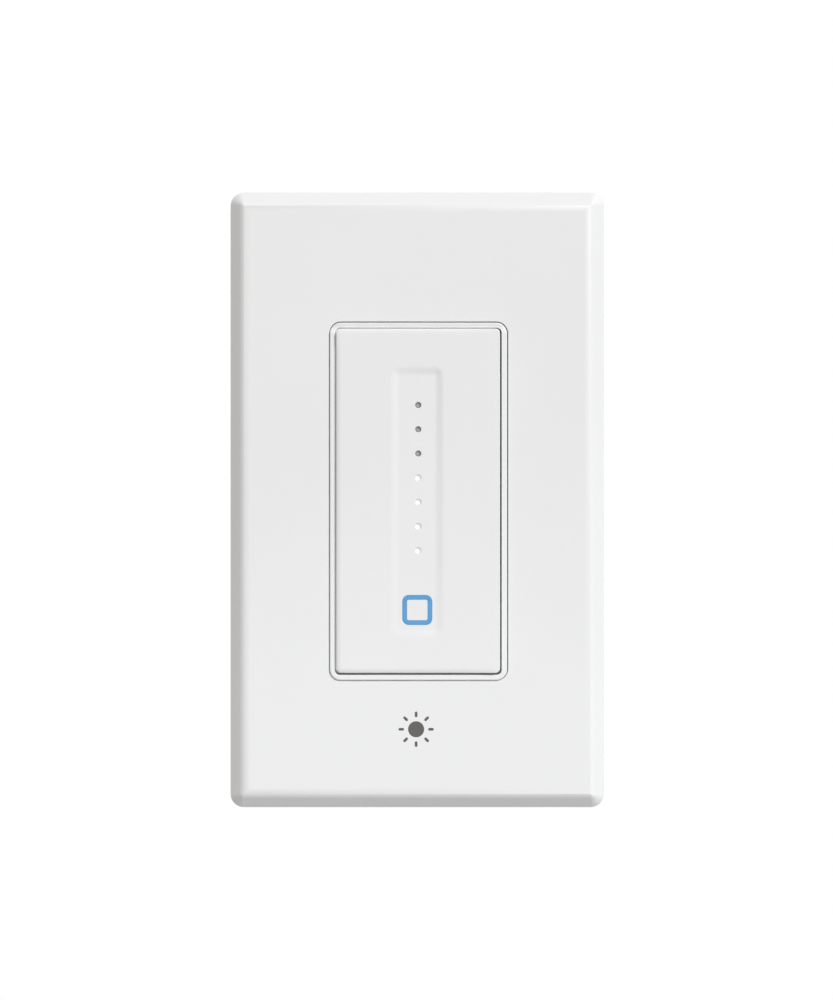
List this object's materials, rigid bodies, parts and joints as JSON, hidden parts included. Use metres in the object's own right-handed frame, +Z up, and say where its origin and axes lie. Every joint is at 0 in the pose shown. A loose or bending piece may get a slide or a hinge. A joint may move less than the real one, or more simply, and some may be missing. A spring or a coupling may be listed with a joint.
{
  "type": "smart dimmer switch",
  "caption": "In-wall smart dimmer with a pressed-on cover plate, a pressed paddle with a finger channel, level lamps and a lit square, and a boxed power body behind the wall.",
  "frame": {"origin": "middle of the device on the wall's surface, where the wall box's mouth is", "axes": "+X right and +Z up as seen from the room, +Y into the wall, so the switch faces -Y"},
  "size_m": [0.0698, 0.0404, 0.115],
  "materials": {
    "white_plastic": "satin white moulded plastic, very fine texture",
    "bezel_plastic": "smooth white moulded plastic",
    "inner_plastic": "plain off-white moulded plastic",
    "housing_plastic": "dark grey moulded plastic, fine spark texture",
    "clear_plastic": "clear to milky light-guide plastic",
    "blue_lens": "lit blue translucent lens",
    "board_green": "green solder mask on glass-fibre board",
    "aluminium": "brushed punched sheet",
    "steel": "zinc-plated steel",
    "brass": "plain brass",
    "green_screw": "green passivated steel",
    "black_part": "black moulded resin",
    "copper": "enamelled copper wire",
    "disc_blue": "blue dipped resin",
    "film_yellow": "yellow boxed film and tape",
    "fibre": "pressed insulating fibre",
    "pad_grey": "soft grey heat pad"
  },
  "bodies": {
    "body": {"wall_plate": "white_plastic", "sub_plate": "inner_plastic", "plate_screw_top": "steel", "plate_screw_bottom": "steel", "mounting_strap": "aluminium", "box_screw_top": "steel", "box_screw_bottom": "steel", "screw_keeper_top": "fibre", "screw_keeper_bottom": "fibre", "bezel_frame": "bezel_plastic", "hinge_pin": "steel", "return_spring_left": "steel", "return_spring_right": "steel", "control_board": "board_green", "level_led_1": "clear_plastic", "level_led_2": "clear_plastic", "level_led_3": "clear_plastic", "level_led_4": "clear_plastic", "level_led_5": "clear_plastic", "level_led_6": "clear_plastic", "level_led_7": "clear_plastic", "ring_led": "clear_plastic", "press_switch": "black_part", "radio_module": "steel", "board_header": "black_part", "insulator_sheet": "fibre", "thermal_pad": "pad_grey", "power_transistor_left": "black_part", "power_transistor_right": "black_part", "power_board": "board_green", "storage_capacitor": "black_part", "choke_coil": "copper", "supply_transformer": "film_yellow", "surge_disc": "disc_blue", "film_capacitor": "film_yellow", "fuse": "black_part", "rear_housing": "housing_plastic", "housing_screw_1": "steel", "housing_screw_2": "steel", "housing_screw_3": "steel", "housing_screw_4": "steel", "terminal_plate_line": "brass", "terminal_plate_load": "brass", "terminal_plate_neutral": "brass", "terminal_screw_line": "brass", "terminal_screw_load": "steel", "terminal_screw_neutral": "steel", "ground_screw": "green_screw"},
    "paddle": {"paddle": "white_plastic", "light_guide": "clear_plastic", "ring_lens": "blue_lens", "square_key": "white_plastic"},
    "plunger": {"press_plunger": "inner_plastic"}
  },
  "joints": [
    {"name": "paddle_press", "type": "hinge", "parent": "body", "child": "paddle", "pos_m": [0, -0.0054, 0.029], "axis": [1, 0, 0], "range_deg": [0, 0.65], "stiffness_Nm_per_rad": 12, "deforming": ["return_spring_left", "return_spring_right"]},
    {"name": "plunger_slide", "type": "slide", "parent": "body", "child": "plunger", "axis": [0, 1, 0], "range_m": [0, 0.00065]}
  ],
  "couplings": [
    {"joint": "plunger_slide", "follows": "paddle_press", "m_per_rad": 0.0566}
  ]
}
